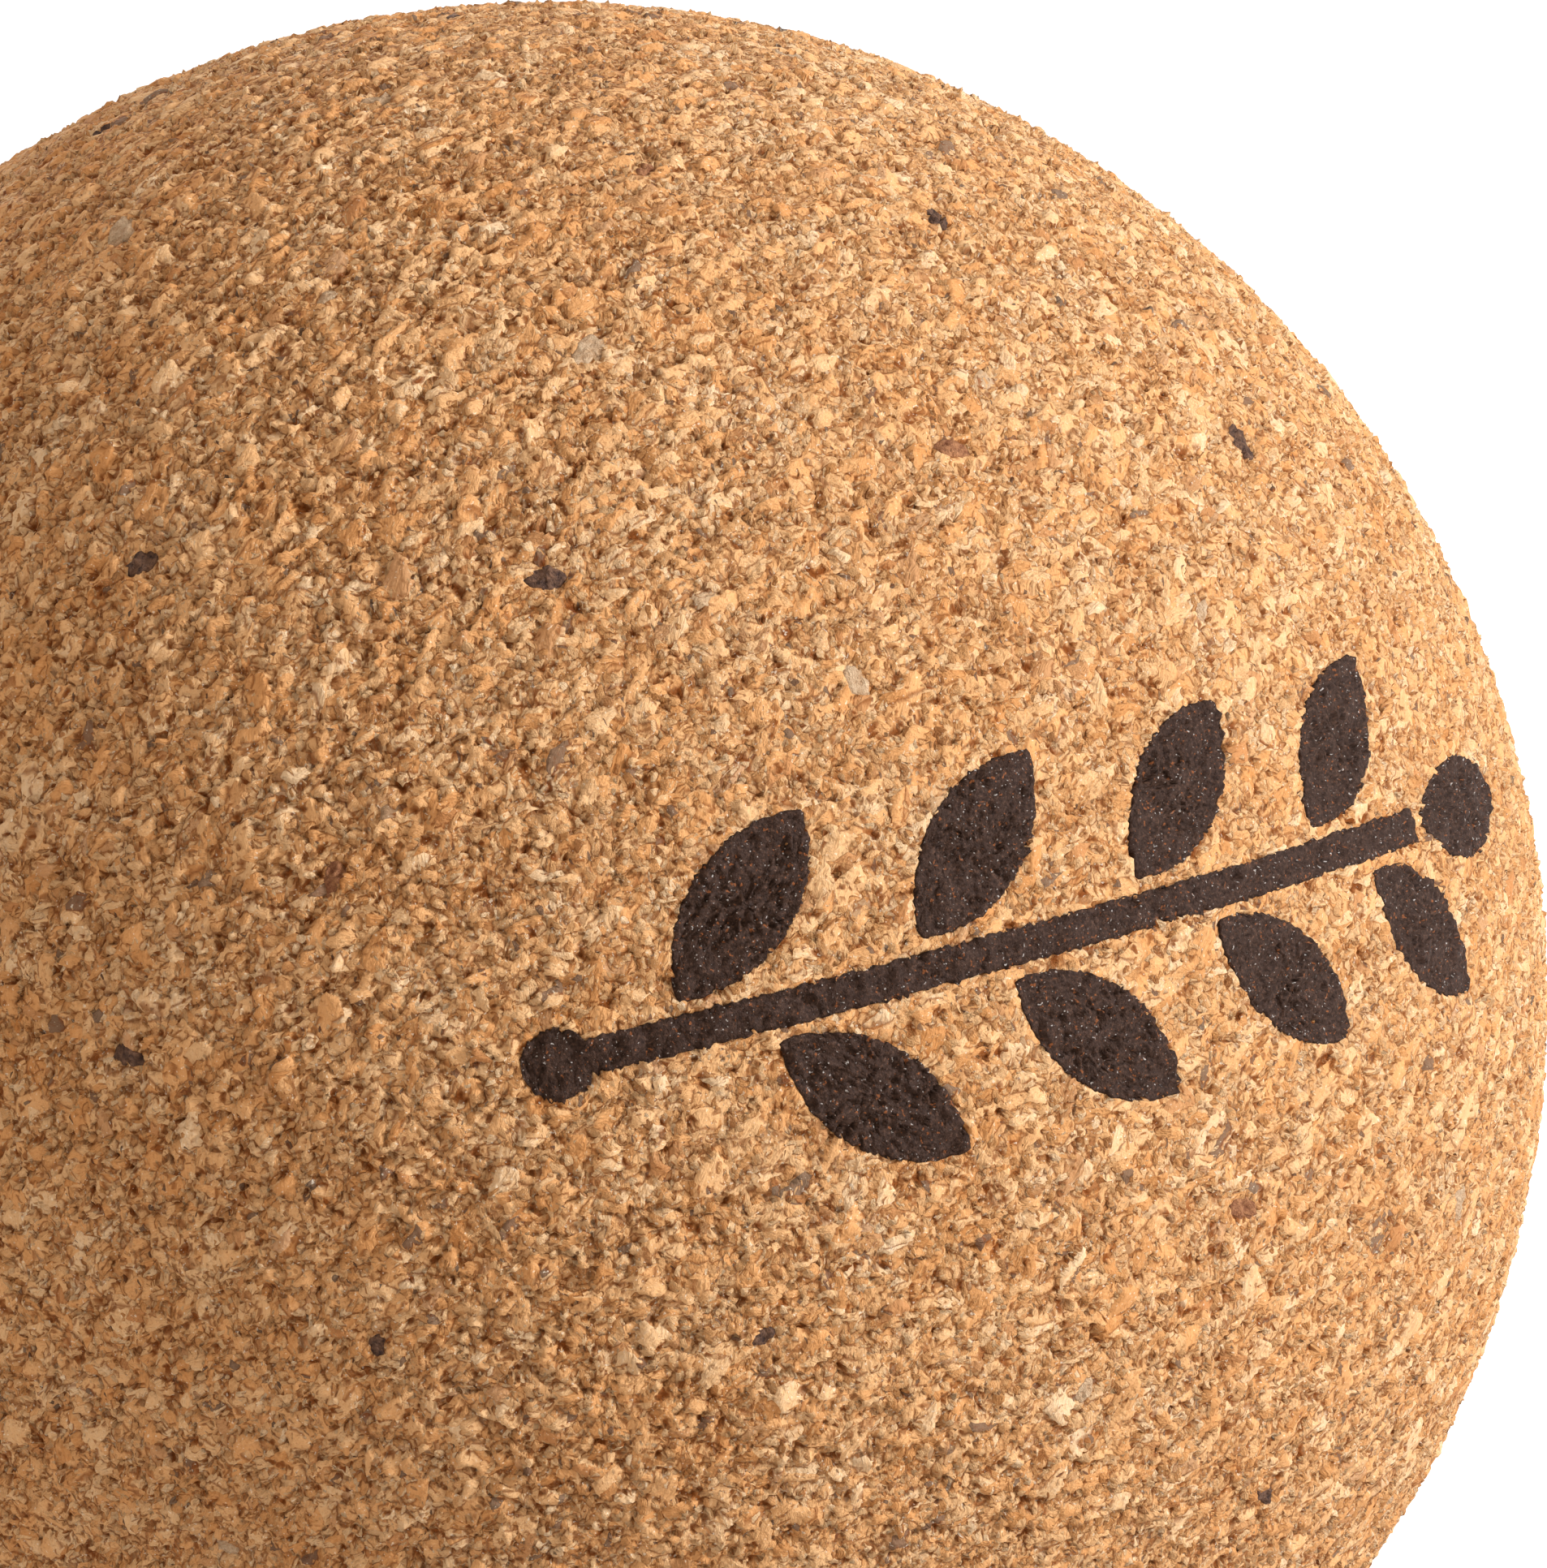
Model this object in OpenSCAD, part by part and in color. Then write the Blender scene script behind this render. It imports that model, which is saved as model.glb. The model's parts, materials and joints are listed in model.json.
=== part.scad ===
// Massage ball of agglomerated cork, with a leaf sprig printed on its side in dark ink.
// Millimetres. The origin is the centre of the ball, +Z is up and the print faces -Y.
// The ball is one solid of bonded granules. Granules whose colour stands out are solids
// of their own, let into the surface, and the print is a thin skin soaked into the cork.

/* [Ball] */
// Diameter of the ball
ball_d = 65; // [50:1:80]

/* [Granules] */
// Number of places spread over the ball that can each hold one distinct granule
granule_sites = 144; // [60:12:180]
// Length of the longest bark fleck
bark_len = 1.7; // [1.2:0.1:3]
// Length of the longest russet granule
russet_len = 1.7; // [1.2:0.1:3]
// Length of the longest pale granule
pale_len = 2; // [1.2:0.1:3]
// Depth that a granule reaches below the surface
granule_depth = 0.9; // [0.5:0.1:1.5]

/* [Print] */
// Angle around the ball that the sprig's stem covers, in degrees
stem_span = 58; // [48:1:64]
// Width of the stem's line
stem_w = 1.1; // [0.6:0.1:1.6]
// Diameter of the round knob at the stem's foot
knob_d = 2.2; // [1.8:0.1:3]
// Length of a leaf
leaf_len = 7; // [5:0.1:7.5]
// Width of a leaf
leaf_w = 3.2; // [2:0.1:3.4]
// Number of leaves on each side of the stem
leaf_pairs = 4; // [3:1:4]
// Angle between a leaf and the stem, in degrees
leaf_lean = 42; // [38:1:52]
// Gap between the stem and a leaf
leaf_gap = 0.4; // [0.2:0.1:0.8]
// Depth that the ink soaks into the cork
ink_depth = 0.15; // [0.1:0.05:0.3]

/* [Hidden] */
$fn = 240;

ball_r = ball_d / 2;
cork_colour = [0.76, 0.56, 0.36];
bark_colour = [0.22, 0.14, 0.11];
russet_colour = [0.55, 0.27, 0.13];
pale_colour = [0.89, 0.74, 0.55];
ink_colour = [0.17, 0.13, 0.11];

// The print. It is centred on the azimuth of -Y and runs along the equator. Places along
// the stem are counted in leaf pitches; leaf_clear is a leaf's largest share of its pitch.
front = -90;
stem_start = front - stem_span / 2 - arc(leaf_len + leaf_gap) / 2;
stem_end = stem_start + stem_span;
tail_pitch = 0.25;
leaf_pitch = stem_span / (leaf_pairs + tail_pitch);
upper_offset = 0.5;
lower_offset = 0.85;
leaf_clear = 0.85;
leaf_w_max = leaf_clear * leaf_pitch * PI / 180 * ball_r * sin(leaf_lean);
leaf_w_used = min(leaf_w, leaf_w_max);
leaf_arc_r = (pow(leaf_len, 2) + pow(leaf_w_used, 2)) / (4 * leaf_w_used);
print_half_h = stem_w / 2 + leaf_gap + leaf_len * sin(leaf_lean);
print_half_az = (stem_span + arc(leaf_len + leaf_gap + knob_d)) / 2;

// A print piece is cut from a prism that stands on the ball between these two radii.
prism_in_share = 0.9;
prism_out_share = 1.05;
prism_in = prism_in_share * ball_r;
prism_out = prism_out_share * ball_r;

// The granules. Each is an angular chip: shortest is its least share of the longest
// length, aspect its width over its length, and nick how far a corner may be drawn in.
BARK = 0;
RUSSET = 1;
PALE = 2;
kind_len = [bark_len, russet_len, pale_len];
bark_share = 0.44;
russet_share = 0.24;
layout_seed = 11;
golden_turn = 137.508;
site_gap = sqrt(4 * PI / granule_sites) * 180 / PI;
jitter = 0.18 * site_gap;
shortest = 0.5;
aspect = 0.6;
nick = 0.3;
fewest_corners = 5;
most_corners = 8;
foot_latitude = -76;
print_margin = 2.5;

site_kind = rands(0, 1, granule_sites, layout_seed);
site_east = rands(-jitter, jitter, granule_sites, layout_seed + 1);
site_north = rands(-jitter, jitter, granule_sites, layout_seed + 2);
site_size = rands(shortest, 1, granule_sites, layout_seed + 3);
site_roll = rands(0, 360, granule_sites, layout_seed + 4);
site_corners = rands(fewest_corners, most_corners + 1, granule_sites, layout_seed + 5);
nick_seed = layout_seed + 6;

// Angle at the ball's centre of a length along its surface, in degrees
function arc(length) = length / ball_r * 180 / PI;

// Where place i lies: a spiral from pole to pole, shaken a little
function latitude(i) = asin(1 - (2 * i + 1) / granule_sites) + site_north[i];
function azimuth(i) = golden_turn * i + site_east[i];

// Azimuth measured from the print's middle, from -180 to 180
function from_front(a) = let (t = (a - front) % 360) t > 180 ? t - 360 : t;

function on_print(i) =
    abs(from_front(azimuth(i))) < print_half_az + arc(print_margin)
    && abs(latitude(i)) < arc(print_half_h + print_margin);

function kind(i) =
    site_kind[i] < bark_share ? BARK
    : site_kind[i] < bark_share + russet_share ? RUSSET
    : PALE;

// The places that hold a granule: none on the print, and none where the ball rests
function is_used(i) = latitude(i) > foot_latitude && !on_print(i);
function places(wanted) =
    [for (i = [0 : granule_sites - 1]) if (is_used(i) && kind(i) == wanted) i];

// Outline of an angular chip: the corners of an ellipse, each drawn in by its own nick
function chip_outline(i) =
    let (
        corners = floor(site_corners[i]),
        half = kind_len[kind(i)] * site_size[i] / 2,
        corner_r = rands(half * (1 - nick), half, corners, nick_seed + i)
    )
    [for (k = [0 : corners - 1])
        let (turn = 360 * k / corners)
        [corner_r[k] * cos(turn), aspect * corner_r[k] * sin(turn)]];

// Carries its children out to radius reach, at an azimuth and a latitude on the ball.
// Their +Z then points straight out, their +Y east and their +X south.
module on_ball(azimuth, latitude, reach) {
    rotate([0, 90 - latitude, azimuth])
        translate([0, 0, reach])
            children();
}

// The prism that cuts a granule's pocket; its outer end stands clear of the ball
module chip_prism(i) {
    on_ball(azimuth(i), latitude(i), ball_r - granule_depth)
        rotate([0, 0, site_roll[i]])
            linear_extrude(2 * granule_depth)
                polygon(chip_outline(i));
}

module granules(wanted) {
    intersection() {
        sphere(r = ball_r);
        union() {
            for (i = places(wanted))
                chip_prism(i);
        }
    }
}

module bark_flecks() {
    color(bark_colour)
        granules(BARK);
}

module russet_granules() {
    color(russet_colour)
        granules(RUSSET);
}

module pale_granules() {
    color(pale_colour)
        granules(PALE);
}

// A leaf as a prism, between two arcs that meet in a point at each end
module leaf_prism(azimuth, latitude, lean) {
    shift = leaf_arc_r - leaf_w_used / 2;
    on_ball(azimuth, latitude, prism_in)
        rotate([0, 0, lean])
            intersection() {
                translate([shift, 0, 0])
                    cylinder(r = leaf_arc_r, h = prism_out - prism_in);
                translate([-shift, 0, 0])
                    cylinder(r = leaf_arc_r, h = prism_out - prism_in);
            }
}

// One side's leaves: side is 1 for the upper leaves and -1 for the lower ones
module side_leaf_prisms(side, offset) {
    rise = stem_w / 2 + leaf_gap + leaf_len / 2 * sin(leaf_lean);
    reach = leaf_len / 2 * cos(leaf_lean);
    for (k = [0 : leaf_pairs - 1])
        leaf_prism(
            stem_start + (k + offset) * leaf_pitch + arc(reach),
            side * arc(rise),
            side * leaf_lean
        );
}

module upper_leaf_prisms() {
    side_leaf_prisms(1, upper_offset);
}

module lower_leaf_prisms() {
    side_leaf_prisms(-1, lower_offset);
}

module tip_leaf_prism() {
    leaf_prism(stem_end + arc(leaf_gap + leaf_len / 2), 0, 0);
}

// The stem: a band along the equator with a round knob at its foot
module stem_prism() {
    rotate([0, 0, stem_start])
        rotate_extrude(angle = stem_span)
            translate([prism_in, -stem_w / 2])
                square([prism_out - prism_in, stem_w]);
    on_ball(stem_start, 0, prism_in)
        cylinder(d = knob_d, h = prism_out - prism_in);
}

// Keeps what lies outside the depth that the ink reaches
module soak() {
    difference() {
        children();
        sphere(r = ball_r - ink_depth);
    }
}

module ink() {
    color(ink_colour)
        intersection() {
            sphere(r = ball_r);
            soak()
                children();
        }
}

module printed_stem() {
    ink()
        stem_prism();
}

module printed_tip_leaf() {
    ink()
        tip_leaf_prism();
}

module printed_upper_leaves() {
    ink()
        upper_leaf_prisms();
}

module printed_lower_leaves() {
    ink()
        lower_leaf_prisms();
}

// The ball, with a pocket for each distinct granule and for each piece of the print
module cork_ball() {
    color(cork_colour)
        difference() {
            sphere(r = ball_r);
            for (wanted = [BARK, RUSSET, PALE])
                for (i = places(wanted))
                    chip_prism(i);
            soak() {
                stem_prism();
                tip_leaf_prism();
                upper_leaf_prisms();
                lower_leaf_prisms();
            }
        }
}

cork_ball();
bark_flecks();
russet_granules();
pale_granules();
printed_stem();
printed_tip_leaf();
printed_upper_leaves();
printed_lower_leaves();
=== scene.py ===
import json
import math

import bpy
import numpy as np
from mathutils import Euler, Matrix, Vector


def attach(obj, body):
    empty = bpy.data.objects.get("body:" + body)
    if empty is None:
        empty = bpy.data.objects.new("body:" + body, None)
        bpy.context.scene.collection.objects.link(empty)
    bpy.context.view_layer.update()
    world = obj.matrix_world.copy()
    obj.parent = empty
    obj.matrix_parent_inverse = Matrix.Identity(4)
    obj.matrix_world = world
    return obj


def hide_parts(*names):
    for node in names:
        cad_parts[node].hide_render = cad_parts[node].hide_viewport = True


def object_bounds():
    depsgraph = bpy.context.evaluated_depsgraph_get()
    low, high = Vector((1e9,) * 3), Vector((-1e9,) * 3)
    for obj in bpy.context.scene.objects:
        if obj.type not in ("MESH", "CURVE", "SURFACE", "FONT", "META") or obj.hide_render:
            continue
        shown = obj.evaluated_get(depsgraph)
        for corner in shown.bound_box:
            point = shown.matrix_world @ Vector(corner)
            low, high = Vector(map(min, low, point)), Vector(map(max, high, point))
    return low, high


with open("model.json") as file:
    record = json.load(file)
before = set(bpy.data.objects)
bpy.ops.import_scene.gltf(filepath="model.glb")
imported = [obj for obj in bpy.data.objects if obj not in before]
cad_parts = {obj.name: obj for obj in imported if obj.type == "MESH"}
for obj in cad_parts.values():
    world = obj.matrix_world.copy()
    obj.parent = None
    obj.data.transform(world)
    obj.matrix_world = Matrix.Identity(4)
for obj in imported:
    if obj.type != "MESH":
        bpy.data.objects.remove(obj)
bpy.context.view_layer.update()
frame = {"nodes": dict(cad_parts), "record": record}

MM = 0.001
WHITE = (1.0, 1.0, 1.0)
HALF = (0.5, 0.5, 0.5)     # the middle of a noise's or a chance's three numbers

# The one mount is the ball's lowest point, so its depth below the origin is the radius.
BALL_R = frame["record"]["mounts"][0]["pos_m"][2] * -1

# The camera: where it stands, and where the ball lies in its picture, in ball radii.
CAMERA_AZIMUTH = -35.0
CAMERA_ELEVATION = 3.5
CAMERA_ROLL = -13.5
CAMERA_DISTANCE = 10.2 * BALL_R
PICTURE_HEIGHT = 1.577
BALL_LEFT = 0.223
BALL_DOWN = 0.214
SENSOR_MM = 36.0
CLIP = (0.01, 20.0)     # nearest and furthest that it sees, in metres

# The cork's grain: layers of chips, each a set of stretched cells turned its own way.
# Lengths and heights are in millimetres.
COARSE_CHIPS = (
    {"cell": (1.5, 0.9, 0.75), "turn": (0.4, 0.9, 0.2), "base": -0.17, "rise": 0.19,
     "tilt": 0.17, "fall": 0.1},
    {"cell": (0.62, 1.15, 0.58), "turn": (1.1, 0.3, 1.9), "base": -0.125, "rise": 0.15,
     "tilt": 0.17, "fall": 0.11},
    {"cell": (0.52, 0.46, 0.9), "turn": (2.2, 1.4, 0.7), "base": -0.105, "rise": 0.145,
     "tilt": 0.17, "fall": 0.11},
    {"cell": (0.4, 0.28, 0.26), "turn": (0.2, 2.0, 1.3), "base": -0.08, "rise": 0.12,
     "tilt": 0.17, "fall": 0.11},
)
FINE_CHIPS = (
    {"cell": (0.16, 0.27, 0.14), "turn": (1.7, 0.6, 2.6), "base": -0.065, "rise": 0.075,
     "tilt": 0.17, "fall": 0.1},
)
FALL_POWER = 4.0                      # keeps a chip flat until near its edge
CHIP_SHIFT = 40.0                     # sets each chip's streaks apart from its neighbours'
WARPS = ((1.0, 0.2), (4.5, 0.045))    # noise scale per millimetre, and its reach
STREAKS = (1.3, 6.0, 6.0)             # streaks in a cell's length along each of its axes

# Each noise here and below is its scale, its detail and its roughness.
STREAK_NOISE = (1.0, 2.0, 0.6)
PIT_NOISE = (1.9, 2.0, 0.5)
PIT_RANGE = (0.58, 0.7)
PIT_DEPTH = 0.08
RELIEF_GAIN = 1.25                    # the mesh's relief over the grain's own
RELIEF_FLOOR = -0.22                  # the deepest that the relief goes

# The ball's mesh: six square charts, each with GRID quads along a side.
GRID = 384
CHART_MARGIN = 0.006                  # share of a chart left free along each side
BALL_WELD = 1e-4 * MM                 # points this near each other are one
CAD_WELD = 0.002 * MM
SKIN_REACH = 0.003 * MM               # a CAD point this near the sphere lies on its skin

# The pieces let into the ball, and the pocket that the ball's mesh has under each
PIECE_STEP = 0.14 * MM                # step of a piece's grid
PIECE_DEPTH = 0.42 * MM
POCKET_DEPTH = 0.16 * MM
POCKET_SLOPE = 0.2 * MM               # width over which a pocket reaches its depth
FEWEST_RINGS, FEWEST_SPOKES = 4, 16
SIZE_SAMPLES = 64                     # directions in which a patch's size is measured
MEAN_REACH = 0.8                      # taken as a patch's mean radius over its greatest
EDGE_WAVES = range(3, 12)             # waves in one turn round a patch's ragged edge
PHASE_SPAN = 6.3                      # about one turn, in radians
KNOB_STEPS = 24
STEM_TIP_SHARE = 0.25                 # the far share of the stem, clear of its knob
TIP_GAP = 1e-5                        # radians that keep the knob's end from a point

# A piece's form: rough and fray make its edge ragged, lift is its share of the relief,
# proud is how far it stands out, and drop is how far its rim falls, over the width edge.
CHIP_FORM = {"rough": 0.25, "fray": 0.0, "lift": 0.8, "proud": 0.0,
             "drop": 0.06 * MM, "edge": 0.2 * MM}
LEAF_FORM = {"rough": 0.012, "fray": 0.035 * MM, "lift": 1.0, "proud": 0.02 * MM,
             "drop": 0.02 * MM, "edge": 0.1 * MM}
STEM_FORM = {"rough": 0.07, "lift": 1.0, "proud": 0.02 * MM}
DRAW_SEED = 4

# The cork. A tone is the sum of four parts, each times its share, less TONE_LESS.
CORK_TONES = (
    (0.0, (0.21, 0.063, 0.014)),
    (0.15, (0.34, 0.132, 0.038)),
    (0.4, (0.43, 0.194, 0.068)),
    (0.65, (0.455, 0.23, 0.092)),
    (0.85, (0.47, 0.262, 0.118)),
    (1.0, (0.49, 0.31, 0.167)),
)
TONE_SHARES = {"shade": 0.65, "mottle": 0.2, "drift": 0.5, "streak": 0.35}
TONE_LESS = 0.25
MOTTLE_NOISE = (5.0, 3.0, 0.6)
DRIFT_NOISE = (0.4, 2.0, 0.5)
SPECK_NOISE = (9.0, 1.0, 0.5)

# Each of these ramps is where it begins, where it ends, and its values there.
RUSSET_BIT, RUSSET_PICK = (0.27, 0.1, 0.034), (0.05, 0.04, 0.0, 0.55)
BARK_BIT, BARK_PICK = (0.09, 0.048, 0.03), (0.983, 0.986, 0.0, 0.85)
# Painted highlights: pale cream specks, set by noise, that stand for small bright highlights
SPECK_PAINTED_HIGHLIGHT, SPECK_PICK = (0.62, 0.5, 0.36), (0.68, 0.74, 0.0, 0.45)
# Painted shade in small dark specks, set by the specks' noise
GRIT_PAINTED_SHADE = (0.3, 0.42, 0.75, 1.0)   # light by the specks' noise
# Painted shade in low places: the colour darkens where the relief lies deep
CAVITY_PAINTED_SHADE = (-0.1, 0.0, 0.35, 1.0)       # light by the relief's height in millimetres
CORK_ROUGHNESS = (0.2, 0.8, 0.8, 0.6)
CORK_SPECULAR = 0.03

# Painted shade in the crevices: two chips meet in a crevice where their heights are nearer
# than this, in millimetres: first outside the pits, then inside them.
CREVICE_NARROW, CREVICE_WIDE = 0.03, 0.15
# The colour that the crevices' painted shade darkens towards, and the painted light left there
CREVICE_PAINTED_SHADE = (0.13, 0.028, 0.003)
CREVICE_PAINTED_LIGHT, PIT_PAINTED_SHADE = 0.33, 0.28  # light left in a crevice, less this in a pit
MESH_SHARE = 0.3                      # share of the coarse relief left out of the bump
MOTTLE_BUMP, STREAK_BUMP = 0.025, 0.055
CORK_BUMP_SCALE = 1.5

# The ink
INK_TONES = (
    (0.3, (0.013, 0.005, 0.002)),
    (0.58, (0.036, 0.017, 0.01)),
    (0.78, (0.09, 0.042, 0.023)),
)
INK_BARE, BARE_PICK = (0.17, 0.05, 0.014), (0.66, 0.74, 0.0, 0.8)
INK_GLINT, GLINT_PICK = (0.34, 0.28, 0.23), (0.69, 0.75, 0.0, 0.7)
INK_NOISE = (9.0, 3.0, 0.6)
BARE_NOISE = (7.0, 1.0, 0.5)
GLINT_NOISE = (10.0, 1.0, 0.5)
GLINT_SHIFT = (31.0, 0.0, 0.0)        # keeps the glints apart from the bare spots
GRIT_NOISE = (16.0, 2.0, 0.7)
INK_ROUGHNESS, INK_SPECULAR = 0.65, 0.07
INK_RELIEF = 0.5                      # share of the relief that shows in the ink's bump
GRIT_BUMP = 0.05

# The granules: slot, then the colours of their dark and light mottling
GRANULES = {
    "bark_flecks": ("bark", (0.03, 0.013, 0.008), (0.18, 0.085, 0.045)),
    "russet_granules": ("russet_cork", (0.14, 0.04, 0.014), (0.36, 0.15, 0.06)),
    "pale_granules": ("pale_cork", (0.34, 0.18, 0.082), (0.5, 0.33, 0.19)),
}
GRANULE_NOISE = (3.5, 5.0, 0.7)
GRANULE_RANGE = (0.36, 0.66)
GRANULE_ROUGHNESS, GRANULE_SPECULAR, GRANULE_BUMP = 0.75, 0.15, 0.35
LEAVES = ("printed_tip_leaf", "printed_upper_leaves", "printed_lower_leaves")

# The stage and its light. Lengths are in metres and powers in watts.
FLOOR_HALF, FLOOR_GREY, FLOOR_ROUGHNESS = 3.0, (0.93, 0.93, 0.93, 1), 0.9
# The room's brightness is the sum of two ramps: one by how nearly a direction points
# straight ahead, and one by how high it points. The room is tinted where it is dim.
ROOM_AHEAD = (0.4, 0.97, 0.39, 1.15)
ROOM_OVERHEAD = (0.05, 0.8, 0.0, 1.1)
ROOM_TINT, ROOM_WHITENS = (1.0, 0.7, 0.48), (0.35, 0.9)
KEY_TOWARDS_CAMERA, KEY_RAISED = 0.38, 0.1     # for each unit to the right
KEY = {"distance": 0.8, "size": 0.2, "power": 12.0, "colour": (0.9, 1.05, 1.24)}
BACKDROP = {"distance": 1.2, "size": 2.4, "power": 20.0, "colour": WHITE}
BACKDROP_AHEAD = 2.2                  # how far behind the ball it hangs


class Net:
    """Adds nodes to a shader tree or to a geometry tree, with the same calls."""

    def __init__(self, tree):
        self.tree = tree

    def node(self, kind, **settings):
        made = self.tree.nodes.new(kind)
        for name, value in settings.items():
            setattr(made, name, value)
        return made

    def put(self, socket, value):
        """Links a socket to another, or sets it to a value; None leaves it as it is."""
        if isinstance(value, bpy.types.NodeSocket):
            self.tree.links.new(value, socket)
        elif value is not None:
            socket.default_value = value

    def math(self, operation, a, b=None, c=None):
        made = self.node("ShaderNodeMath", operation=operation)
        for socket, value in zip(made.inputs, (a, b, c)):
            self.put(socket, value)
        return made.outputs[0]

    def vector(self, operation, a, b=None):
        made = self.node("ShaderNodeVectorMath", operation=operation)
        self.put(made.inputs[0], a)
        if operation == "SCALE":
            self.put(made.inputs["Scale"], b)
        else:
            self.put(made.inputs[1], b)
        return made.outputs["Value" if operation == "DOT_PRODUCT" else "Vector"]

    def turned(self, vector, angles):
        made = self.node("ShaderNodeVectorRotate", rotation_type="EULER_XYZ")
        self.put(made.inputs["Vector"], vector)
        self.put(made.inputs["Rotation"], angles)
        return made.outputs[0]

    def noise(self, vector, scale, detail=1.0, roughness=0.5):
        """A noise's value and its colour."""
        made = self.node("ShaderNodeTexNoise")
        self.put(made.inputs["Vector"], vector)
        self.put(made.inputs["Scale"], scale)
        self.put(made.inputs["Detail"], detail)
        self.put(made.inputs["Roughness"], roughness)
        return made.outputs[0], made.outputs["Color"]

    def cells(self, vector):
        """The distance to the nearest cell's centre, its colour, and its place."""
        made = self.node("ShaderNodeTexVoronoi", feature="F1")
        self.put(made.inputs["Vector"], vector)
        self.put(made.inputs["Scale"], 1.0)
        return made.outputs["Distance"], made.outputs["Color"], made.outputs["Position"]

    def ramp(self, value, low, high, to_low=0.0, to_high=1.0):
        """Goes smoothly from to_low to to_high while the value goes from low to high."""
        made = self.node("ShaderNodeMapRange", interpolation_type="SMOOTHSTEP")
        for name, number in (("Value", value), ("From Min", low), ("From Max", high),
                             ("To Min", to_low), ("To Max", to_high)):
            self.put(made.inputs[name], number)
        return made.outputs[0]

    def parts(self, vector):
        made = self.node("ShaderNodeSeparateXYZ")
        self.put(made.inputs[0], vector)
        return made.outputs

    def mix(self, share, a, b):
        """A mix of vectors or colours. Its vector sockets are the ones numbered 4 and 5."""
        made = self.node("ShaderNodeMix", data_type="VECTOR")
        self.put(made.inputs[0], share)
        self.put(made.inputs[4], a)
        self.put(made.inputs[5], b)
        return made.outputs[1]

    def colours(self, value, stops):
        """The colour that the stops, each a place and a colour, give a value."""
        made = self.node("ShaderNodeValToRGB")
        self.put(made.inputs[0], value)
        elements = made.color_ramp.elements
        while len(elements) < len(stops):
            elements.new(0.5)         # anywhere: the loop below sets its place
        for element, (at, colour) in zip(elements, stops):
            element.position = at
            element.color = (*colour, 1.0)
        return made.outputs[0]

    def bumped(self, height, scale=1.0):
        """A normal bent by a height in millimetres, times scale."""
        made = self.node("ShaderNodeBump")
        made.inputs["Strength"].default_value = 1.0
        made.inputs["Distance"].default_value = scale * MM
        self.put(made.inputs["Height"], height)
        return made.outputs[0]


# ---- Grain ---------------------------------------------------------------------------

def on_sphere_mm(net, position):
    """The point of the plain ball under a position, in millimetres."""
    straight = net.vector("NORMALIZE", position)
    return net.vector("SCALE", straight, BALL_R / MM)


def warped(net, point):
    """The point, shifted a little by noise so that no chip has a straight edge."""
    for scale, reach in WARPS:
        _, shift = net.noise(point, scale)
        centred = net.vector("SUBTRACT", shift, HALF)
        point = net.vector("ADD", point, net.vector("SCALE", centred, 2 * reach))
    return point


def chip_layer(net, point, layer):
    """One layer of chips: each cell's top lies at its own height and its own tilt, and
    falls away near its edge.

    Returns the height, the chip's three random numbers, and the point in the chip's own
    stretched axes.
    """
    placed = net.turned(point, layer["turn"])
    placed = net.vector("DIVIDE", placed, layer["cell"])
    distance, chance, centre = net.cells(placed)
    lean = net.vector("SUBTRACT", chance, HALF)
    slope = net.vector("DOT_PRODUCT", lean, net.vector("SUBTRACT", placed, centre))
    height = net.math("MULTIPLY_ADD", net.parts(chance)[0], layer["rise"], layer["base"])
    height = net.math("MULTIPLY_ADD", slope, layer["tilt"] * 2, height)
    fall = net.math("POWER", distance, FALL_POWER)
    height = net.math("MULTIPLY_ADD", fall, -layer["fall"], height)
    return height, chance, net.vector("ADD", placed, net.vector("SCALE", chance, CHIP_SHIFT))


def grain(net, position, fine=True):
    """The cork's relief in millimetres, from chips that lie over one another.

    Returns the coarse relief with its pits, the full relief without them, the top
    chip's random numbers, how far the coarse chip there stands above the next one down,
    the pits, and the streaks, which run along the first axis of each chip's cell.
    """
    point = warped(net, on_sphere_mm(net, position))
    top, facts, along = chip_layer(net, point, COARSE_CHIPS[0])
    coarse, below = top, None
    for layer in COARSE_CHIPS[1:] + (FINE_CHIPS if fine else ()):
        height, other, other_along = chip_layer(net, point, layer)
        higher = net.math("GREATER_THAN", height, top)
        facts = net.mix(higher, facts, other)
        along = net.mix(higher, along, other_along)
        if layer in COARSE_CHIPS:
            lower = net.math("MINIMUM", top, height)
            below = lower if below is None else net.math("MAXIMUM", below, lower)
            coarse = net.math("MAXIMUM", top, height)
        top = net.math("MAXIMUM", top, height)
    gap = net.math("SUBTRACT", coarse, below)
    pit = net.ramp(net.noise(point, *PIT_NOISE)[0], *PIT_RANGE)
    coarse = net.math("MULTIPLY_ADD", pit, -PIT_DEPTH, coarse)
    streak, _ = net.noise(net.vector("MULTIPLY", along, STREAKS), *STREAK_NOISE)
    return coarse, top, facts, gap, pit, streak


# ---- Geometry ------------------------------------------------------------------------

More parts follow.
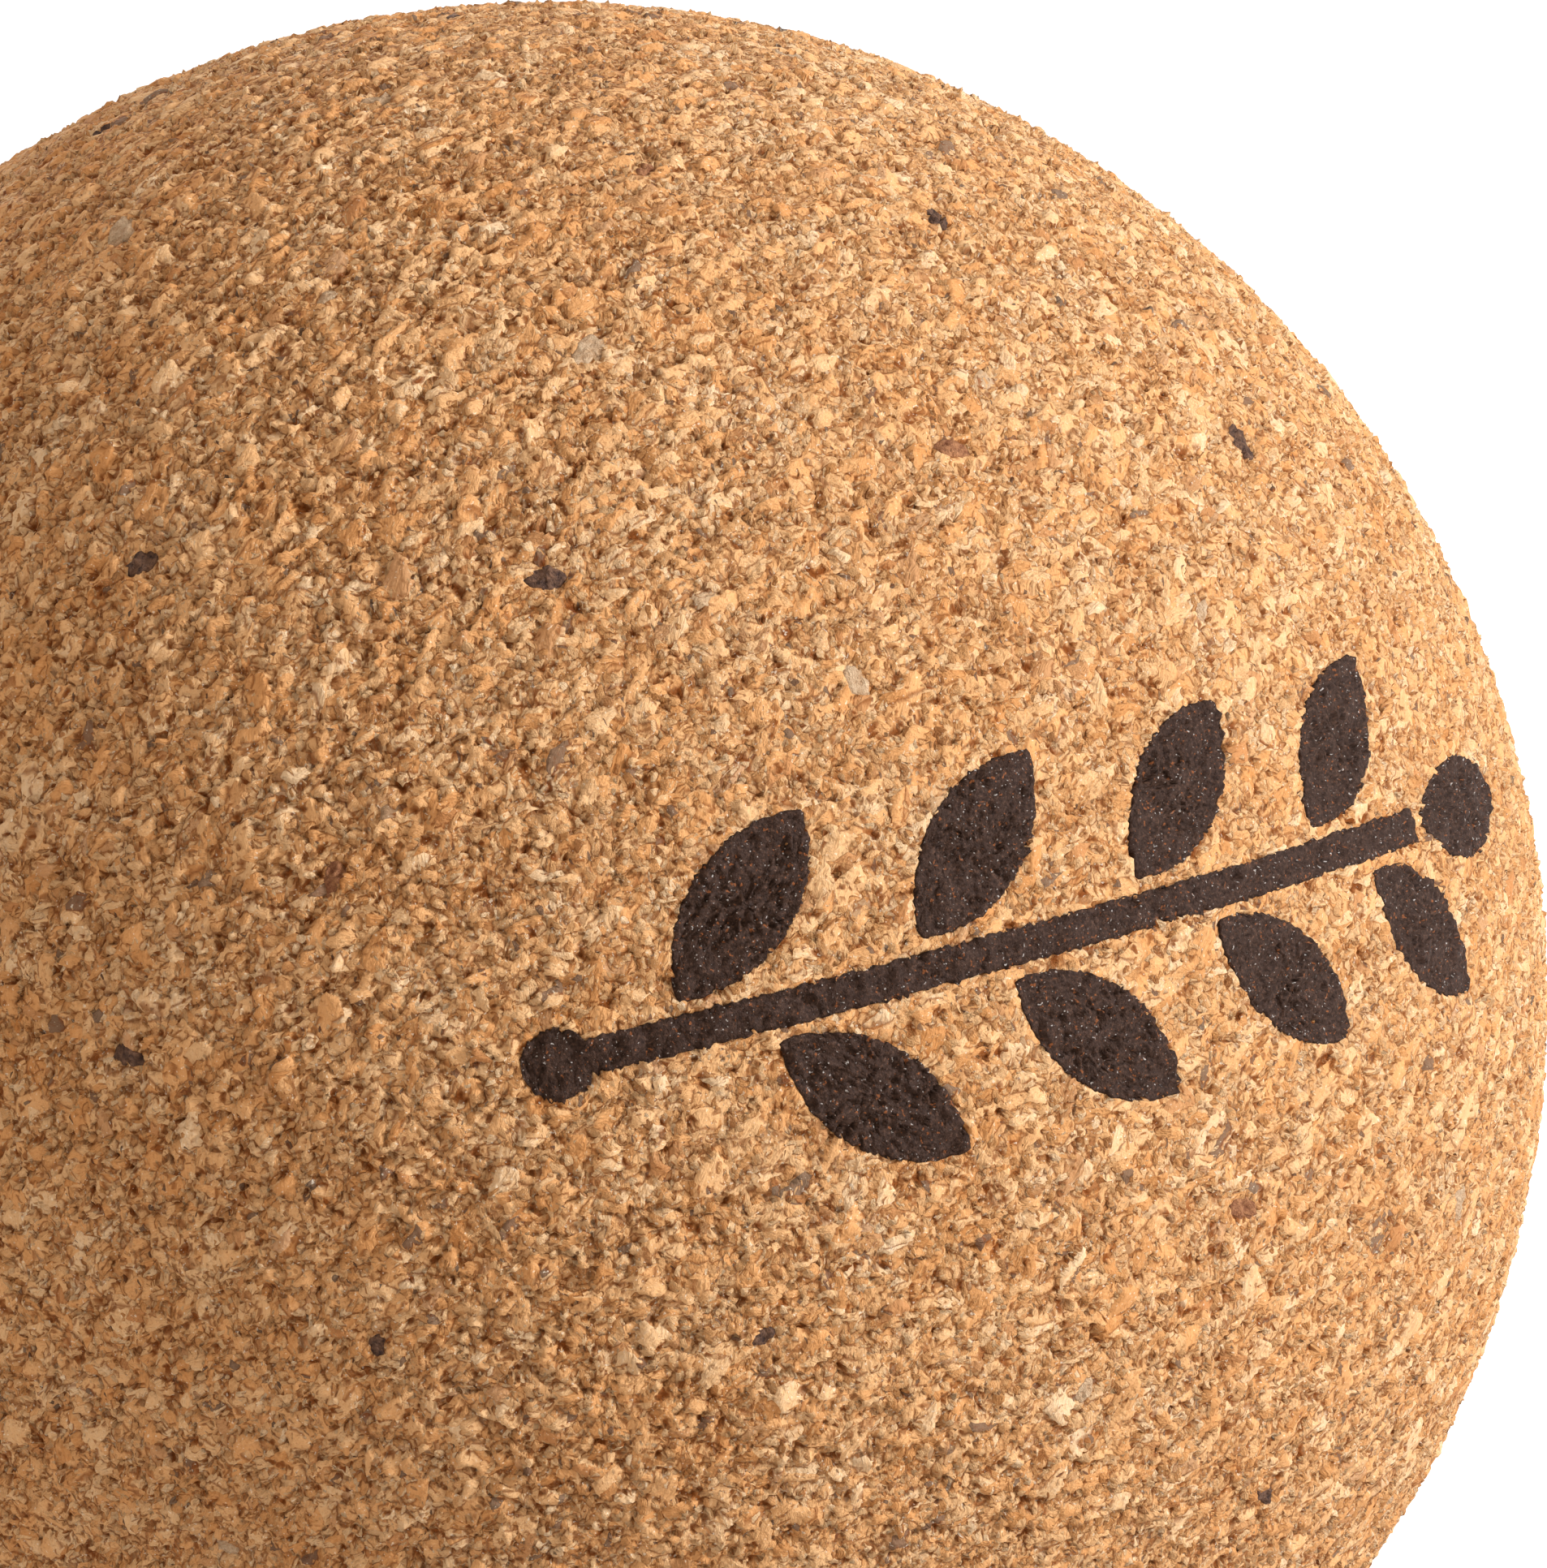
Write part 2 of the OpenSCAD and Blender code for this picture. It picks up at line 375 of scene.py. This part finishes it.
def relief_tree():
    """Moves each vertex along its radius: by the coarse relief times the vertex's lift,
    plus the vertex's own shift."""
    tree = bpy.data.node_groups.new("cork_relief", "GeometryNodeTree")
    for way in ("INPUT", "OUTPUT"):
        tree.interface.new_socket(name="Geometry", in_out=way,
                                  socket_type="NodeSocketGeometry")
    net = Net(tree)
    start, end = net.node("NodeGroupInput"), net.node("NodeGroupOutput")
    position = net.node("GeometryNodeInputPosition").outputs[0]
    coarse = grain(net, position, fine=False)[0]

    def stored(name):
        made = net.node("GeometryNodeInputNamedAttribute", data_type="FLOAT")
        made.inputs["Name"].default_value = name
        return made.outputs[0]

    height = net.math("MAXIMUM", net.math("MULTIPLY", coarse, RELIEF_GAIN), RELIEF_FLOOR)
    out = net.math("MULTIPLY", net.math("MULTIPLY", height, stored("lift")), MM)
    out = net.math("ADD", out, stored("shift"))
    offset = net.vector("SCALE", net.vector("NORMALIZE", position), out)
    move = net.node("GeometryNodeSetPosition")
    net.put(move.inputs["Geometry"], start.outputs[0])
    net.put(move.inputs["Offset"], offset)
    net.put(end.inputs[0], move.outputs[0])
    return tree


def mesh_object(name, points, faces, lift, shift, uvs=None):
    """A smooth mesh object; faces is an array of quads or of triangles."""
    mesh = bpy.data.meshes.new(name)
    points, faces = np.asarray(points, np.float32), np.asarray(faces, np.int32)
    mesh.vertices.add(len(points))
    mesh.vertices.foreach_set("co", points.ravel())
    mesh.loops.add(faces.size)
    mesh.loops.foreach_set("vertex_index", faces.ravel())
    mesh.polygons.add(len(faces))
    sides = faces.shape[1]
    mesh.polygons.foreach_set("loop_start", np.arange(0, faces.size, sides, dtype=np.int32))
    if uvs is not None:
        layer = mesh.uv_layers.new(name="OFBake")
        layer.uv.foreach_set("vector", np.asarray(uvs, np.float32).ravel())
    mesh.update(calc_edges=True)
    mesh.polygons.foreach_set("use_smooth", np.ones(len(faces), bool))
    for key, values in (("lift", lift), ("shift", shift)):
        stored = mesh.attributes.new(key, "FLOAT", "POINT")
        stored.data.foreach_set("value", np.asarray(values, np.float32))
    thing = bpy.data.objects.new(name, mesh)
    bpy.context.scene.collection.objects.link(thing)
    return thing


def apply_relief(thing, tree):
    """Runs the relief on the object and keeps the result as its mesh."""
    step = thing.modifiers.new("relief", "NODES")
    step.node_group = tree
    graph = bpy.context.evaluated_depsgraph_get()
    made = bpy.data.meshes.new_from_object(thing.evaluated_get(graph))
    thing.modifiers.clear()
    old, thing.data = thing.data, made
    made.name = thing.name
    bpy.data.meshes.remove(old)


def grid_quads(index):
    """The quads between the points of a grid, each as four of the grid's indices."""
    corners = (index[:-1, :-1], index[1:, :-1], index[1:, 1:], index[:-1, 1:])
    return np.stack(corners, -1).reshape(-1, 4)


def slab_quads(index, under):
    """The quads of a closed slab, between a top grid and the same grid below it."""
    quads = [grid_quads(index), grid_quads(under)[:, (0, 3, 2, 1)]]
    for a, b in ((index[:, 0], under[:, 0]), (under[:, -1], index[:, -1]),
                 (index[-1], under[-1]), (under[0], index[0])):
        quads.append(np.stack([a[:-1], b[:-1], b[1:], a[1:]], -1))
    return np.vstack(quads)


def first_of_each(points, weld):
    """Which points to keep so that none lies on another, and each point's place in them."""
    key = np.round(points / weld).astype(np.int64)
    _, first, back = np.unique(key, axis=0, return_index=True, return_inverse=True)
    return first, back.reshape(-1)


def ball_grid(count):
    """Points, quads and chart coordinates of a ball made of six square charts."""
    axes = np.eye(3)
    flat = np.tan(np.linspace(-math.pi / 4, math.pi / 4, count + 1))
    across, up = (grid[..., None] for grid in np.meshgrid(flat, flat, indexing="ij"))
    share = (1 - 2 * CHART_MARGIN) * np.linspace(0, 1, count + 1)
    u, v = np.meshgrid(share, share, indexing="ij")
    quad = grid_quads(np.arange((count + 1) ** 2).reshape(count + 1, count + 1))
    all_points, all_quads, all_uvs = [], [], []
    for chart in range(6):
        axis, side = chart // 2, (1, -1)[chart % 2]
        normal, right = axes[axis] * side, axes[(axis + 1) % 3]
        points = normal + across * right + up * np.cross(normal, right)
        points = points.reshape(-1, 3)
        points /= np.linalg.norm(points, axis=1, keepdims=True)
        all_points.append(points * BALL_R)
        all_quads.append(quad + chart * (count + 1) ** 2)
        column, row = chart % 3 + CHART_MARGIN, chart // 3 + CHART_MARGIN
        uv = np.stack([(column + u) / 3, (row + v) / 2], -1)
        all_uvs.append(uv.reshape(-1, 2)[quad])
    points = np.vstack(all_points)
    first, back = first_of_each(points, BALL_WELD)
    return points[first], back[np.vstack(all_quads)], np.vstack(all_uvs).reshape(-1, 2)


def welded(node):
    """A CAD node's vertices, welded, and its triangles."""
    mesh = frame["nodes"][node].data
    points = np.zeros(len(mesh.vertices) * 3)
    mesh.vertices.foreach_get("co", points)
    points = points.reshape(-1, 3)
    mesh.calc_loop_triangles()
    tris = np.zeros(len(mesh.loop_triangles) * 3, np.int32)
    mesh.loop_triangles.foreach_get("vertices", tris)
    first, back = first_of_each(points, CAD_WELD)
    return points[first], back[tris.reshape(-1, 3)]


def skin_outlines(node):
    """The outline, as a closed loop of points, of each solid's face on the ball."""
    points, tris = welded(node)
    outer = np.linalg.norm(points, axis=1) > BALL_R - SKIN_REACH
    skin = tris[outer[tris].all(axis=1)]
    edges = {}                        # a dict, because it keeps the edges in order
    for tri in skin:
        for a, b in zip(tri, np.roll(tri, -1)):
            if a != b:
                edges[(int(a), int(b))] = True
    follows = {a: b for (a, b) in edges if (b, a) not in edges}
    loops = []
    while follows:
        loop, at = [], next(iter(follows))
        while at in follows:
            loop.append(at)
            at = follows.pop(at)
        if len(loop) > 2:
            loops.append(points[loop])
    return loops


def tangent_frame(centre):
    """Unit vectors out, east and north at a point of the ball."""
    out = centre / np.linalg.norm(centre)
    east = np.cross((0.0, 0.0, 1.0), out)
    east /= np.linalg.norm(east)
    return out, east, np.cross(out, east)


class StarPatch:
    """A patch of the ball whose outline is seen whole from its middle."""

    def __init__(self, loop):
        self.out, self.east, self.north = tangent_frame(loop.mean(axis=0))
        x, y = loop @ self.east, loop @ self.north
        angle = np.arctan2(y, x)
        order = np.argsort(angle)
        self.x, self.y, self.angle = x[order], y[order], angle[order]

    def reach(self, angle):
        """Distance from the middle to the outline, along straight edges."""
        angle = (np.asarray(angle) + math.pi) % (2 * math.pi) - math.pi
        count = len(self.angle)
        after = np.searchsorted(self.angle, angle, side="right") % count
        before = (after - 1) % count
        x0, y0, x1, y1 = self.x[before], self.y[before], self.x[after], self.y[after]
        dx, dy = np.cos(angle), np.sin(angle)
        cross = dx * (y1 - y0) - dy * (x1 - x0)
        return (x0 * (y1 - y0) - y0 * (x1 - x0)) / cross

    def size(self):
        return float(self.reach(np.linspace(0, 2 * math.pi, SIZE_SAMPLES)).max())

    def place(self, x, y):
        """Points on the ball from tangent-plane coordinates."""
        rise = np.sqrt(np.maximum(BALL_R ** 2 - x ** 2 - y ** 2, 0))
        return (np.multiply.outer(x, self.east) + np.multiply.outer(y, self.north)
                + np.multiply.outer(rise, self.out))

    def inside(self, points):
        """How far each point lies inside the outline; negative is outside."""
        near = points @ self.out > 0
        x, y = points @ self.east, points @ self.north
        depth = self.reach(np.arctan2(y, x)) - np.hypot(x, y)
        return np.where(near, depth, -1.0)

    def grid(self, rng, rough, fray):
        """Top points, how deep each lies inside, and the number of rings and spokes."""
        size = self.size()
        rings = max(FEWEST_RINGS, int(size / PIECE_STEP))
        spokes = max(FEWEST_SPOKES, int(2 * math.pi * size * MEAN_REACH / PIECE_STEP))
        turn = np.linspace(0, 2 * math.pi, spokes, endpoint=False)
        wave = sum(rng.normal() / k * np.cos(k * turn + rng.uniform(0, PHASE_SPAN))
                   for k in EDGE_WAVES)
        edge = self.reach(turn) * (1 + rough * wave) + fray * rng.normal(size=spokes)
        share = np.linspace(0, 1, rings + 1)[1:]
        x = np.outer(share, edge * np.cos(turn))
        y = np.outer(share, edge * np.sin(turn))
        top = np.vstack([[[0, 0]], np.stack([x.ravel(), y.ravel()], -1)])
        inner = np.concatenate([[size], np.outer(1 - share, edge).ravel()])
        return top, inner, rings, spokes


def strip_triangles(upper, lower):
    """Triangles between two closed rings of points, given by their indices."""
    ahead, below = np.roll(upper, -1), np.roll(lower, -1)
    pairs = np.stack([upper, lower, below, upper, below, ahead], -1)
    return pairs.reshape(-1, 3)


def shell_from_rings(patch, top, rings, spokes):
    """Closes a patch's top grid with a wall and a flat foot below the surface."""
    points = patch.place(top[:, 0], top[:, 1])
    index = 1 + np.arange(rings * spokes).reshape(rings, spokes)
    first = len(points)
    under = first + np.arange(spokes)
    hub = first + spokes
    inmost = index[0]
    faces = [np.stack([np.zeros_like(inmost), inmost, np.roll(inmost, -1)], -1)]
    faces += [strip_triangles(index[r], index[r + 1]) for r in range(rings - 1)]
    faces.append(strip_triangles(index[-1], under))
    faces.append(np.stack([np.full_like(under, hub), np.roll(under, -1), under], -1))
    low = points[index[-1]] * (1 - PIECE_DEPTH / BALL_R)
    points = np.vstack([points, low, patch.out[None] * (BALL_R - PIECE_DEPTH)])
    return points, np.vstack(faces), first


def patch_group(name, patches, rng, form):
    """One object of closed pieces, each with a top that follows the relief."""
    all_points, all_faces, all_lift, all_shift = [], [], [], []
    base = 0
    for patch in patches:
        top, inner, rings, spokes = patch.grid(rng, form["rough"], form["fray"])
        points, faces, first = shell_from_rings(patch, top, rings, spokes)
        lifts, shifts = np.zeros(len(points)), np.zeros(len(points))
        lifts[:first] = form["lift"]
        round_in = np.clip(inner / form["edge"], 0, 1)
        shifts[:first] = form["proud"] - form["drop"] * (1 - round_in) ** 2
        all_points.append(points)
        all_faces.append(faces + base)
        all_lift.append(lifts)
        all_shift.append(shifts)
        base += len(points)
    return mesh_object(name, np.vstack(all_points), np.vstack(all_faces),
                       np.concatenate(all_lift), np.concatenate(all_shift))


class StemPatch:
    """The stem's band along the equator, with the round knob at its start."""

    def __init__(self, loop):
        along = np.arctan2(loop[:, 1], loop[:, 0])
        self.start, self.end = along.min(), along.max()
        self.knob = np.abs(loop[:, 2]).max()
        last = along > self.end - STEM_TIP_SHARE * (self.end - self.start)
        self.half = np.abs(loop[last, 2]).max()

    def half_height(self, along):
        reach = (along - self.start) * BALL_R - self.knob
        circle = np.sqrt(np.maximum(self.knob ** 2 - reach ** 2, 0))
        band = np.where(reach > 0, self.half, 0)
        return np.maximum(circle, band)

    def place(self, along, height):
        flat = np.sqrt(BALL_R ** 2 - height ** 2)
        return np.stack([flat * np.cos(along), flat * np.sin(along), height], -1)

    def inside(self, points):
        """How far each point lies inside the outline; negative is outside."""
        along = np.arctan2(points[:, 1], points[:, 0])
        near = (along > self.start) & (along < self.end)
        depth = np.minimum(self.half_height(along) - np.abs(points[:, 2]),
                           (self.end - along) * BALL_R)
        return np.where(near, depth, -1.0)

    def stations(self):
        """Places along the stem: close together round the knob's end, then even."""
        quarter = np.linspace(0, math.pi / 2, KNOB_STEPS)
        near = self.start + (1 - np.cos(quarter)) * self.knob / BALL_R
        count = int((self.end - self.start) * BALL_R / PIECE_STEP)
        return np.concatenate([near[:-1] + TIP_GAP, np.linspace(near[-1], self.end, count)])

    def build(self, name, rng, form):
        """The stem as a closed slab whose top follows the relief. Its rows are odd in
        number, so that one runs along the middle."""
        along = self.stations()
        rows = 2 * int(self.half / PIECE_STEP) + 3
        height = self.half_height(along)[:, None] * np.linspace(-1, 1, rows)
        height[:, [0, -1]] *= 1 + form["rough"] * rng.normal(size=(len(along), 2))
        turn = np.repeat(along[:, None], rows, axis=1)
        top = self.place(turn.ravel(), height.ravel())
        index = np.arange(len(top)).reshape(height.shape)
        faces = slab_quads(index, index + len(top))
        points = np.vstack([top, top * (1 - PIECE_DEPTH / BALL_R)])
        is_top = np.arange(len(points)) < len(top)
        return mesh_object(name, points, faces, is_top * form["lift"],
                           is_top * form["proud"])


# ---- Materials -----------------------------------------------------------------------

def new_material(name, specular):
    """A material, its net, its shader, and the place on the object."""
    material = bpy.data.materials.new(name)
    material.use_nodes = True
    shader = material.node_tree.nodes["Principled BSDF"]
    shader.inputs["Specular IOR Level"].default_value = specular
    net = Net(material.node_tree)
    return material, net, shader, net.node("ShaderNodeTexCoord").outputs["Object"]


def painted_crevice_shade(net, gap, pit):
    """Painted shade: how lit a place is painted, 1 on top of a chip, and least in a crevice
    inside a pit.
    """
    width = net.math("MULTIPLY_ADD", pit, CREVICE_WIDE - CREVICE_NARROW, CREVICE_NARROW)
    depth = net.ramp(net.math("DIVIDE", gap, width), 0.0, 1.0)
    darkest = net.math("MULTIPLY_ADD", pit, -PIT_PAINTED_SHADE, CREVICE_PAINTED_LIGHT)
    return net.math("MULTIPLY_ADD", depth, net.math("SUBTRACT", 1.0, darkest), darkest)


def cork_colour(net, parts, pick, speck, light):
    """The chips' colours, with odd bark and russet bits, painted shade in crevices, pits and
    low places, and pale specks of painted highlight.
    """
    tone = 0.0
    for name, share in TONE_SHARES.items():
        tone = net.math("MULTIPLY_ADD", parts[name], share, tone)
    base = net.colours(net.math("SUBTRACT", tone, TONE_LESS), CORK_TONES)
    base = net.mix(net.ramp(pick, *RUSSET_PICK), base, RUSSET_BIT)
    base = net.mix(net.ramp(pick, *BARK_PICK), base, BARK_BIT)
    # painted shade: darkens the colour towards the crevice colour where the painted light is
    # low
    base = net.mix(light, CREVICE_PAINTED_SHADE, base)
    # painted highlights as pale specks
    return net.mix(net.ramp(speck, *SPECK_PICK), base, SPECK_PAINTED_HIGHLIGHT)


def cork_material():
    material, net, shader, place = new_material("cork", CORK_SPECULAR)
    coarse, full, facts, gap, pit, streak = grain(net, place)
    _, shade, pick = net.parts(facts)
    point = on_sphere_mm(net, place)
    mottle, _ = net.noise(point, *MOTTLE_NOISE)
    drift, _ = net.noise(point, *DRIFT_NOISE)
    speck, _ = net.noise(point, *SPECK_NOISE)
    # Painted shade: the painted light darkens the colour in crevices and pits
    light = painted_crevice_shade(net, gap, pit)
    # painted shade in small specks
    light = net.math("MULTIPLY", light, net.ramp(speck, *GRIT_PAINTED_SHADE))
    # painted shade where the relief lies low
    light = net.math("MULTIPLY", light, net.ramp(full, *CAVITY_PAINTED_SHADE))
    parts = {"shade": shade, "mottle": mottle, "drift": drift, "streak": streak}
    net.put(shader.inputs["Base Color"], cork_colour(net, parts, pick, speck, light))
    net.put(shader.inputs["Roughness"], net.ramp(mottle, *CORK_ROUGHNESS))
    residual = net.math("SUBTRACT", full, net.math("MULTIPLY", coarse, MESH_SHARE))
    residual = net.math("MULTIPLY_ADD", mottle, MOTTLE_BUMP, residual)
    residual = net.math("MULTIPLY_ADD", streak, STREAK_BUMP, residual)
    net.put(shader.inputs["Normal"], net.bumped(residual, CORK_BUMP_SCALE))
    return material


def ink_material():
    material, net, shader, place = new_material("ink", INK_SPECULAR)
    full = grain(net, place)[1]
    point = on_sphere_mm(net, place)
    base = net.colours(net.noise(point, *INK_NOISE)[0], INK_TONES)
    bare, _ = net.noise(point, *BARE_NOISE)
    base = net.mix(net.ramp(bare, *BARE_PICK), base, INK_BARE)
    glint, _ = net.noise(net.vector("ADD", point, GLINT_SHIFT), *GLINT_NOISE)
    base = net.mix(net.ramp(glint, *GLINT_PICK), base, INK_GLINT)
    net.put(shader.inputs["Base Color"], base)
    shader.inputs["Roughness"].default_value = INK_ROUGHNESS
    grit, _ = net.noise(point, *GRIT_NOISE)
    residual = net.math("MULTIPLY_ADD", grit, GRIT_BUMP, net.math("MULTIPLY", full, INK_RELIEF))
    net.put(shader.inputs["Normal"], net.bumped(residual))
    return material


def granule_material(name, dark, light):
    material, net, shader, place = new_material(name, GRANULE_SPECULAR)
    mottle, _ = net.noise(on_sphere_mm(net, place), *GRANULE_NOISE)
    low, high = GRANULE_RANGE
    net.put(shader.inputs["Base Color"], net.colours(mottle, ((low, dark), (high, light))))
    shader.inputs["Roughness"].default_value = GRANULE_ROUGHNESS
    net.put(shader.inputs["Normal"], net.bumped(net.math("MULTIPLY", mottle, GRANULE_BUMP)))
    return material


# ---- The object ----------------------------------------------------------------------

def finish_piece(piece, tree, material, node):
    """Gives a piece its relief and its material, and puts it in its CAD node's place."""
    apply_relief(piece, tree)
    piece.data.materials.append(material)
    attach(piece, "root")
    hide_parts(node)


def build_granules(rng, tree):
    """The distinct granules, one piece for each kind; returns their patches."""
    patches = []
    for node, (slot, dark, light) in GRANULES.items():
        group = [StarPatch(loop) for loop in skin_outlines(node)]
        piece = patch_group(node + "_chips", group, rng, CHIP_FORM)
        finish_piece(piece, tree, granule_material(slot, dark, light), node)
        patches += group
    return patches


def build_print(rng, tree):
    """The sprig, one piece for each group of leaves and one for the stem."""
    patches = []
    ink = ink_material()
    for node in LEAVES:
        group = [StarPatch(loop) for loop in skin_outlines(node)]
        piece = patch_group(node + "_ink", group, rng, LEAF_FORM)
        finish_piece(piece, tree, ink, node)
        patches += group
    stem = StemPatch(skin_outlines("printed_stem")[0])
    piece = stem.build("printed_stem_ink", rng, STEM_FORM)
    finish_piece(piece, tree, ink, "printed_stem")
    return patches + [stem]


def build_ball(patches, tree):
    """The ball, with a shallow pocket under each piece let into it."""
    points, quads, uvs = ball_grid(GRID)
    shift = np.zeros(len(points))
    for patch in patches:
        depth = patch.inside(points)
        shift = np.minimum(shift, -POCKET_DEPTH * np.clip(depth / POCKET_SLOPE, 0, 1))
    ball = mesh_object("cork_body", points, quads, np.ones(len(points)), shift, uvs)
    apply_relief(ball, tree)
    ball.data.materials.append(cork_material())
    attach(ball, "root")
    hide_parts("cork_ball")


def build_object():
    rng = np.random.default_rng(DRAW_SEED)
    tree = relief_tree()
    patches = build_granules(rng, tree) + build_print(rng, tree)
    build_ball(patches, tree)


# ---- Stage, light and camera ---------------------------------------------------------

def view_back():
    """The direction from the ball to the camera."""
    a, e = math.radians(CAMERA_AZIMUTH), math.radians(CAMERA_ELEVATION)
    return Vector((math.sin(a) * math.cos(e), -math.cos(a) * math.cos(e), math.sin(e)))


def add_camera():
    """Stands at the photograph's angle and turns until the ball lies where it should."""
    data = bpy.data.cameras.new("camera")
    camera = bpy.data.objects.new("camera", data)
    bpy.context.scene.collection.objects.link(camera)
    back = view_back()
    spread = math.tan(math.asin(BALL_R / CAMERA_DISTANCE))
    data.sensor_width = SENSOR_MM
    data.lens = SENSOR_MM / (PICTURE_HEIGHT * spread)
    data.clip_start, data.clip_end = CLIP
    data.dof.use_dof = False
    upright = back.to_track_quat("Z", "Y").to_matrix()
    rolled = upright @ Euler((0, 0, math.radians(CAMERA_ROLL))).to_matrix()
    ball = Vector((-BALL_LEFT, -BALL_DOWN, -1 / spread))
    aim = ball.rotation_difference(Vector((0, 0, -1))).to_matrix()
    turn = (rolled @ aim).to_4x4()
    camera.matrix_world = Matrix.Translation(back * CAMERA_DISTANCE) @ turn
    bpy.context.scene.camera = camera


def add_floor():
    """A pale floor at the ball's lowest point."""
    mesh = bpy.data.meshes.new("floor")
    corners = [(-1, -1), (1, -1), (1, 1), (-1, 1)]
    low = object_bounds()[0][2]
    points = [(x * FLOOR_HALF, y * FLOOR_HALF, low) for x, y in corners]
    mesh.from_pydata(points, [], [(0, 1, 2, 3)])
    floor = bpy.data.objects.new("floor", mesh)
    bpy.context.scene.collection.objects.link(floor)
    material = bpy.data.materials.new("floor_paper")
    material.use_nodes = True
    shader = material.node_tree.nodes["Principled BSDF"]
    shader.inputs["Base Color"].default_value = FLOOR_GREY
    shader.inputs["Roughness"].default_value = FLOOR_ROUGHNESS
    mesh.materials.append(material)


def add_softbox(name, direction, distance, size, power, colour):
    """A round lamp that faces the origin from a direction and a distance."""
    data = bpy.data.lights.new(name, "AREA")
    data.shape = "DISK"
    data.size = size
    data.energy = power
    data.color = colour
    lamp = bpy.data.objects.new(name, data)
    bpy.context.scene.collection.objects.link(lamp)
    away = Vector(direction).normalized()
    lamp.location = away * distance
    lamp.rotation_euler = away.to_track_quat("Z", "Y").to_euler()
    return lamp


def add_world():
    """A pale room, white and brightest overhead and behind the ball, warm elsewhere."""
    world = bpy.data.worlds.new("studio")
    bpy.context.scene.world = world
    world.use_nodes = True
    net = Net(world.node_tree)
    sky = world.node_tree.nodes["Background"]
    way = net.vector("NORMALIZE", net.node("ShaderNodeTexCoord").outputs["Generated"])
    back = view_back()
    facing = net.vector("DOT_PRODUCT", way, (-back.x, -back.y, 0.0))
    level = net.ramp(facing, *ROOM_AHEAD)
    level = net.math("ADD", level, net.ramp(net.parts(way)[2], *ROOM_OVERHEAD))
    net.put(sky.inputs["Strength"], level)
    net.put(sky.inputs["Color"], net.mix(net.ramp(level, *ROOM_WHITENS), ROOM_TINT, WHITE))


def add_lights():
    """A softbox from the right, and one over the floor behind the ball."""
    back, up = view_back(), Vector((0, 0, 1))
    right = up.cross(back).normalized()
    key = right + back * KEY_TOWARDS_CAMERA + up * KEY_RAISED
    add_softbox("key_softbox", key, **KEY)
    lamp = add_softbox("backdrop_softbox", up, **BACKDROP)
    lamp.location -= Vector((back.x, back.y, 0)) * BACKDROP_AHEAD


build_object()
add_camera()
add_floor()
add_world()
add_lights()
bpy.context.scene.view_settings.view_transform = "Standard"
